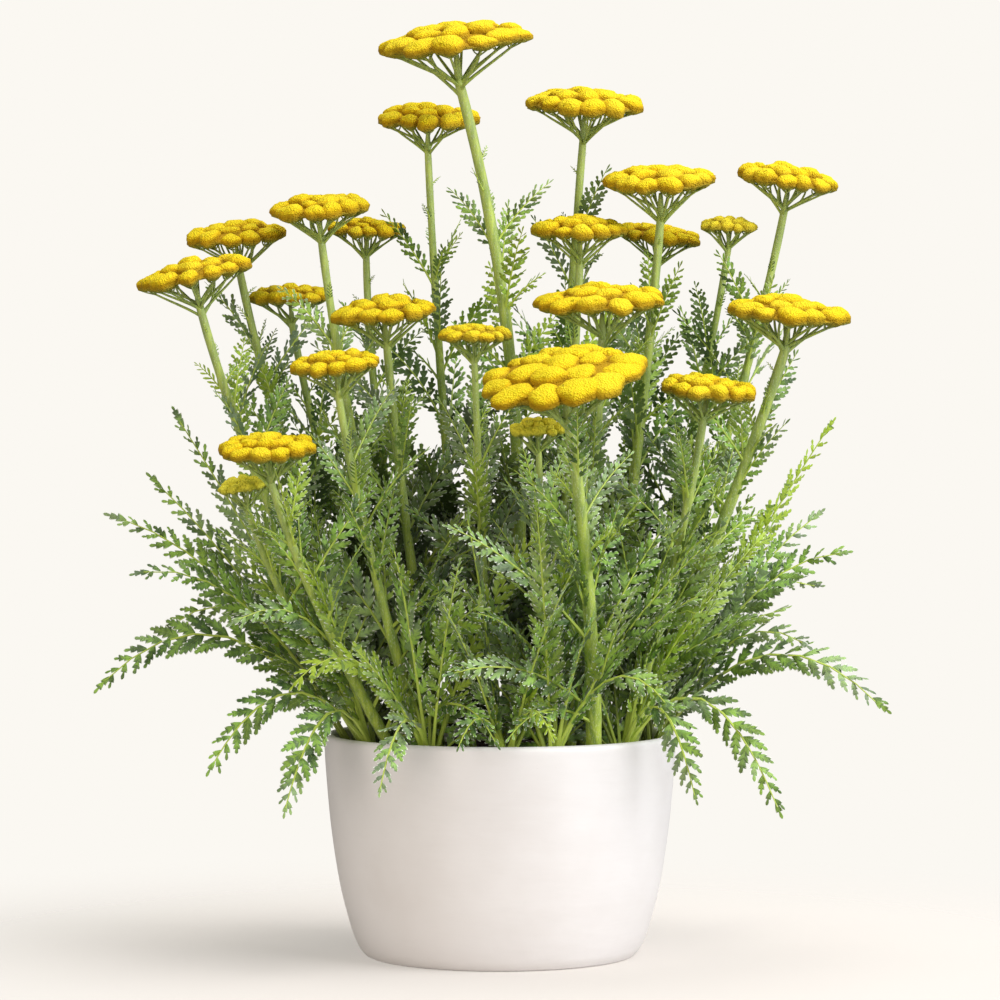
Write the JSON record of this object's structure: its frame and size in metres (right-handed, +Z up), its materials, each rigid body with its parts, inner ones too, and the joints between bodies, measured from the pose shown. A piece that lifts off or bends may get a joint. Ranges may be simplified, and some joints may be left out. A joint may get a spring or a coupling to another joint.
{
  "type": "potted fernleaf yarrow",
  "caption": "Flowering fernleaf yarrow in a round white ceramic pot: flat yellow flower heads on leafy stalks over a mound of ferny fronds.",
  "frame": {"origin": "centre of the pot's flat base, on the surface that it stands on", "axes": "+Z up along the pot's axis; the plant's front, as pictured, faces -Y and its right is +X"},
  "size_m": [0.5292, 0.4286, 0.6367],
  "materials": {
    "glazed_pot": "satin",
    "potting_soil": "matte",
    "green_stalk": "matte",
    "yellow_florets": "matte",
    "green_frond": "matte"
  },
  "bodies": {
    "root": {"pot": "glazed_pot", "soil": "potting_soil", "stalk_01": "green_stalk", "bloom_01": "yellow_florets", "stalk_02": "green_stalk", "bloom_02": "yellow_florets", "stalk_03": "green_stalk", "bloom_03": "yellow_florets", "stalk_04": "green_stalk", "bloom_04": "yellow_florets", "stalk_05": "green_stalk", "bloom_05": "yellow_florets", "stalk_06": "green_stalk", "bloom_06": "yellow_florets", "stalk_07": "green_stalk", "bloom_07": "yellow_florets", "stalk_08": "green_stalk", "bloom_08": "yellow_florets", "stalk_09": "green_stalk", "bloom_09": "yellow_florets", "stalk_10": "green_stalk", "bloom_10": "yellow_florets", "stalk_11": "green_stalk", "bloom_11": "yellow_florets", "stalk_12": "green_stalk", "bloom_12": "yellow_florets", "stalk_13": "green_stalk", "bloom_13": "yellow_florets", "stalk_14": "green_stalk", "bloom_14": "yellow_florets", "stalk_15": "green_stalk", "bloom_15": "yellow_florets", "stalk_16": "green_stalk", "bloom_16": "yellow_florets", "stalk_17": "green_stalk", "bloom_17": "yellow_florets", "stalk_18": "green_stalk", "bloom_18": "yellow_florets", "stalk_19": "green_stalk", "bloom_19": "yellow_florets", "stalk_20": "green_stalk", "bloom_20": "yellow_florets", "stalk_21": "green_stalk", "bloom_21": "yellow_florets", "stalk_22": "green_stalk", "bloom_22": "yellow_florets", "stalk_23": "green_stalk", "bloom_23": "yellow_florets", "frond_tuft_01": "green_frond", "frond_tuft_02": "green_frond", "frond_tuft_03": "green_frond", "frond_tuft_04": "green_frond", "frond_tuft_05": "green_frond", "frond_tuft_06": "green_frond", "frond_tuft_07": "green_frond", "frond_tuft_08": "green_frond", "frond_tuft_09": "green_frond", "frond_tuft_10": "green_frond", "frond_tuft_11": "green_frond", "frond_tuft_12": "green_frond"}
  },
  "joints": []
}
